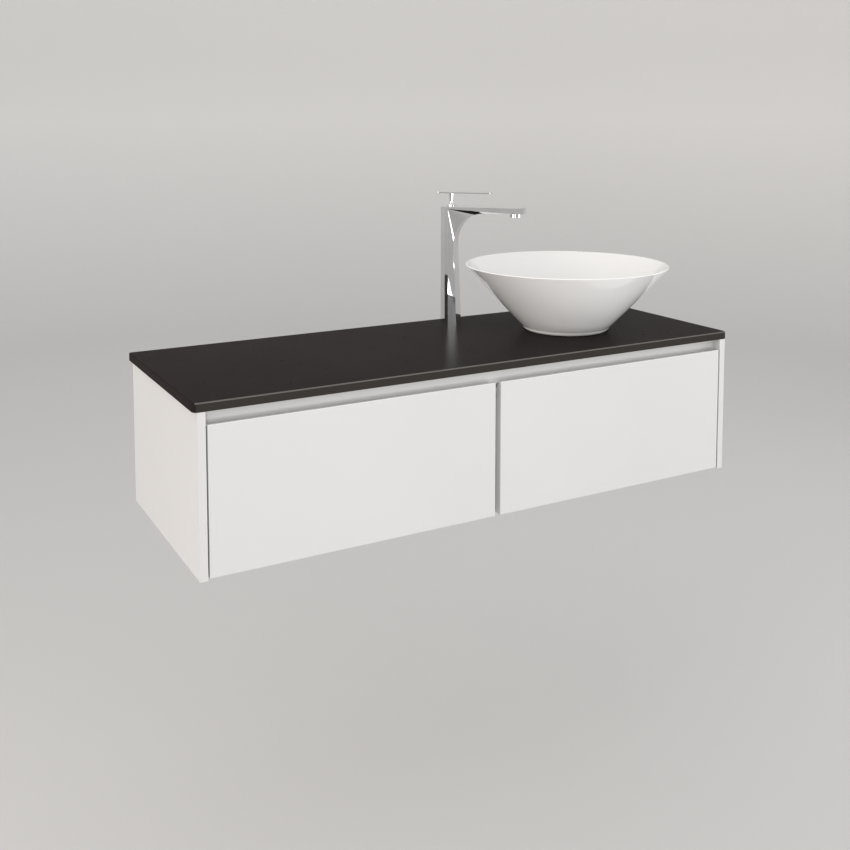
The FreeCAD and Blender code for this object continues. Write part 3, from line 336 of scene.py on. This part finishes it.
def grip_ribs(node, along, count, span=None):
    """Moulded ribs round a nut or cup that is turned about the X, Y or Z axis through its box."""
    low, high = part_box(node)
    centre = (low + high) / 2
    one, two = [axis for axis in range(3) if axis != along]
    radius = (high[one] - low[one]) / 2
    start, end = span or (low[along] + RIB_MARGIN, high[along] - RIB_MARGIN)
    levels = ((start, RIB_END_LIFT), (start + RIB_RUN_IN, 1.0),
              (end - RIB_RUN_IN, 1.0), (end, RIB_END_LIFT))
    vertices, faces = [], []
    for rib in range(count):
        middle = math.tau * rib / count
        half_width = RIB_HALF_WIDTH * math.tau / count
        first = len(vertices)
        for at, lift in levels:
            for across in range(RIB_POINTS):
                turn = across / (RIB_POINTS - 1)
                angle = middle + half_width * (2 * turn - 1)
                rise = (RIB_HEIGHT + RIB_SINK) * lift * math.sin(math.pi * turn)
                reach = radius - RIB_SINK + rise
                point = [0.0, 0.0, 0.0]
                point[along] = at
                point[one] = centre[one] + reach * math.cos(angle)
                point[two] = centre[two] + reach * math.sin(angle)
                vertices.append(point)
        last = first + (len(levels) - 1) * RIB_POINTS
        for here in range(first, last, RIB_POINTS):
            there = here + RIB_POINTS
            for across in range(RIB_POINTS - 1):
                faces.append((here + across, here + across + 1,
                              there + across + 1, there + across))
            faces.append((here + RIB_POINTS - 1, here, there, there + RIB_POINTS - 1))
        faces.append(tuple(first + across for across in reversed(range(RIB_POINTS))))
        faces.append(tuple(last + across for across in range(RIB_POINTS)))
    ribs = detail(f"{node}_ribs", vertices, faces, "trap_plastic", "cabinet")
    tidy_normals(ribs.data)
    for polygon in ribs.data.polygons:
        polygon.use_smooth = len(polygon.vertices) == 4


GRID_RADIUS = 0.0088
GRID_DEPTH = 0.0008                         # below the aerator's insert
CELL = 0.0011                               # from a hexagon's middle to its corners
CELL_FACES = (0.99, 0.80)                   # a tube's outside and inside, as shares of the cell


def honeycomb():
    """The flow straightener's grid: hexagonal tubes side by side inside a circle."""
    low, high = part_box("aerator_insert")
    centre = (low + high) / 2
    pitch = CELL * math.sqrt(3)
    row_pitch = 1.5 * CELL
    rows = int(GRID_RADIUS / row_pitch) + 1
    vertices, faces = [], []
    for row in range(-rows, rows + 1):
        for column in range(-rows, rows + 1):
            x = pitch * (column + 0.5 * (row % 2))
            y = row_pitch * row
            if math.hypot(x, y) > GRID_RADIUS - CELL:
                continue
            first = len(vertices)
            for share in CELL_FACES:
                size = CELL * share
                for level in (low.z - GRID_DEPTH, low.z):
                    for turn in range(6):
                        angle = math.pi / 6 + math.pi / 3 * turn
                        vertices.append((centre.x + x + size * math.cos(angle),
                                         centre.y + y + size * math.sin(angle), level))
            for turn in range(6):
                after = (turn + 1) % 6
                for one, two in ((0, 6), (18, 12), (12, 0), (6, 18)):
                    faces.append((first + one + turn, first + one + after,
                                  first + two + after, first + two + turn))
    grid = detail("aerator_honeycomb", vertices, faces, "grey_plastic", "cabinet")
    tidy_normals(grid.data)


BALL_RADIUS = 0.00085
BALL_PITCH = 0.0105
BALL_SIDES, BALL_STACKS = 10, 6
BALL_INSET = 0.0045                         # from the rails' outer side
BALL_DROP = 0.00215                         # from the rails' upper or lower edge
ROW_START, ROW_LENGTH = 0.2, 0.62           # of a row of balls, as shares of the rail


def add_ball(vertices, faces, x, y, z):
    """One ball: rings from top to foot, with a fan at each end."""
    first = len(vertices)
    for stack in range(1, BALL_STACKS):
        tilt = math.pi * stack / BALL_STACKS
        for side in range(BALL_SIDES):
            turn = math.tau * side / BALL_SIDES
            vertices.append((x + BALL_RADIUS * math.sin(tilt) * math.cos(turn),
                             y + BALL_RADIUS * math.sin(tilt) * math.sin(turn),
                             z + BALL_RADIUS * math.cos(tilt)))
    vertices += [(x, y, z + BALL_RADIUS), (x, y, z - BALL_RADIUS)]
    top, foot = len(vertices) - 2, len(vertices) - 1
    last = first + (BALL_STACKS - 2) * BALL_SIDES
    for one in range(first, last, BALL_SIDES):
        two = one + BALL_SIDES
        for side in range(BALL_SIDES):
            after = (side + 1) % BALL_SIDES
            faces.append((one + side, two + side, two + after, one + after))
    for side in range(BALL_SIDES):
        after = (side + 1) % BALL_SIDES
        faces.append((top, first + side, first + after))
        faces.append((foot, last + after, last + side))


def runner_balls(drawer):
    """A drawer's runner balls: rows above and below in the middle members, on both sides."""
    low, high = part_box(f"{drawer}_drawer_mid_rails")
    length = high.y - low.y
    count = int(length * ROW_LENGTH / BALL_PITCH)
    start = low.y + length * ROW_START
    vertices, faces = [], []
    for x in (low.x + BALL_INSET, high.x - BALL_INSET):
        for level in (low.z + BALL_DROP, high.z - BALL_DROP):
            for number in range(count):
                add_ball(vertices, faces, x, start + BALL_PITCH * number, level)
    balls = detail(f"{drawer}_runner_balls", vertices, faces, "steel", f"{drawer}_runner_middle")
    for polygon in balls.data.polygons:
        polygon.use_smooth = True


CUP_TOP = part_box("trap_cup")[1].z
CUP_RIBS = (CUP_TOP - 0.0265, CUP_TOP - 0.0015)     # the band of the cup that is gripped

grip_ribs("trap_inlet_nut", along=2, count=28)
grip_ribs("trap_outlet_nut", along=1, count=24)
grip_ribs("trap_cup", along=2, count=36, span=CUP_RIBS)
honeycomb()
runner_balls("left")
runner_balls("right")


# ---------------------------------------------------------------- stage, light and camera

FLOOR_RADIUS, SWEEP_RADIUS, WALL_HEIGHT = 4.2, 1.8, 2.7
BOWL_TURNS, SWEEP_STEPS = 96, 24
PALEST_HEIGHT = 1.3                         # above the floor; the bowl is darker below it


def studio_bowl():
    """A pale floor that sweeps up into a pale wall all round, so every side has the same ground."""
    shade = Shade("studio_grey")
    fade = shade.ramp(shade.rise(FLOOR_Z, FLOOR_Z + PALEST_HEIGHT),
                      [(0.0, grey(0.585, 0.006)), (1.0, grey(0.80, 0.012))])
    shade.link(fade, "Base Color")
    shade.set(Roughness=0.95, Specular_IOR_Level=0.1)
    profile = [(FLOOR_RADIUS / 3, 0.0), (FLOOR_RADIUS * 2 / 3, 0.0)]
    for step in range(SWEEP_STEPS + 1):
        angle = math.pi / 2 * step / SWEEP_STEPS
        profile.append((FLOOR_RADIUS + SWEEP_RADIUS * math.sin(angle),
                        SWEEP_RADIUS * (1 - math.cos(angle))))
    profile.append((FLOOR_RADIUS + SWEEP_RADIUS, WALL_HEIGHT))
    vertices, faces = [], []
    for radius, height in profile:
        for turn in range(BOWL_TURNS):
            angle = math.tau * turn / BOWL_TURNS
            vertices.append((radius * math.cos(angle), radius * math.sin(angle), FLOOR_Z + height))
    vertices.append((0, 0, FLOOR_Z))
    middle = len(vertices) - 1
    for inner in range(0, middle - BOWL_TURNS, BOWL_TURNS):
        outer = inner + BOWL_TURNS
        for turn in range(BOWL_TURNS):
            after = (turn + 1) % BOWL_TURNS
            faces.append((inner + turn, outer + turn, outer + after, inner + after))
    faces += [(middle, turn, (turn + 1) % BOWL_TURNS) for turn in range(BOWL_TURNS)]
    bowl = mesh_object("studio_floor", vertices, faces, shade.material)
    for polygon in bowl.data.polygons:
        polygon.use_smooth = True


LIGHT_TARGET = (0, -0.2, 0.1)
LIGHT_SPREAD = math.radians(110)            # narrow enough to keep pools of light off the floor
AMBIENT = (1.0, 0.99, 0.98, 1)
AMBIENT_STRENGTH = 0.87


def softbox(name, at, size, power, blue=1.0):
    """A rectangular light that faces the object, in watts; it is white, or warmer with less blue."""
    light = bpy.data.lights.new(name, "AREA")
    light.shape = "RECTANGLE"
    light.size, light.size_y = size
    light.energy = power
    light.spread = LIGHT_SPREAD
    light.color = (1.0, (1 + blue) / 2, blue)
    lamp = bpy.data.objects.new(name, light)
    lamp.location = at
    lamp.rotation_euler = (Vector(LIGHT_TARGET) - Vector(at)).to_track_quat("-Z", "Y").to_euler()
    scene.collection.objects.link(lamp)


def studio_light():
    """Soft light from all round, with softboxes at the front and both sides."""
    world = bpy.data.worlds.new("studio")
    scene.world = world
    world.use_nodes = True
    background = world.node_tree.nodes["Background"]
    background.inputs["Color"].default_value = AMBIENT
    background.inputs["Strength"].default_value = AMBIENT_STRENGTH
    softbox("key_front_left", at=(-2.2, -3.9, 0.45), size=(1.0, 2.2), power=14.4, blue=0.985)
    softbox("side_left", at=(-3.6, -0.7, 0.8), size=(1.2, 1.8), power=18.6, blue=0.82)
    softbox("fill_front_right", at=(3.3, -2.7, 0.7), size=(1.2, 1.8), power=8.7)
    softbox("low_front", at=(0.5, -3.2, -0.35), size=(2.4, 0.5), power=6.2)
    softbox("low_right", at=(3.6, -1.2, 0.1), size=(1.6, 1.2), power=7.4)


CAMERA_AT = (-1.0914, -2.0952, DECK + 0.4718)
CAMERA_HEADING = math.radians(-29.2)        # turned to the right of straight into the wall
CAMERA_DIP = math.radians(4.78)             # below level


def camera():
    """The viewing place: front left, above the benchtop, with the frame shifted down."""
    lens = bpy.data.cameras.new("camera")
    lens.sensor_width = 36
    lens.lens = 44.39
    lens.shift_y = -0.26
    lens.clip_end = 50
    thing = bpy.data.objects.new("camera", lens)
    thing.location = CAMERA_AT
    thing.rotation_euler = (math.pi / 2 - CAMERA_DIP, 0, CAMERA_HEADING)
    scene.collection.objects.link(thing)
    scene.camera = thing


scene.view_settings.view_transform = "Standard"
studio_bowl()
studio_light()
camera()
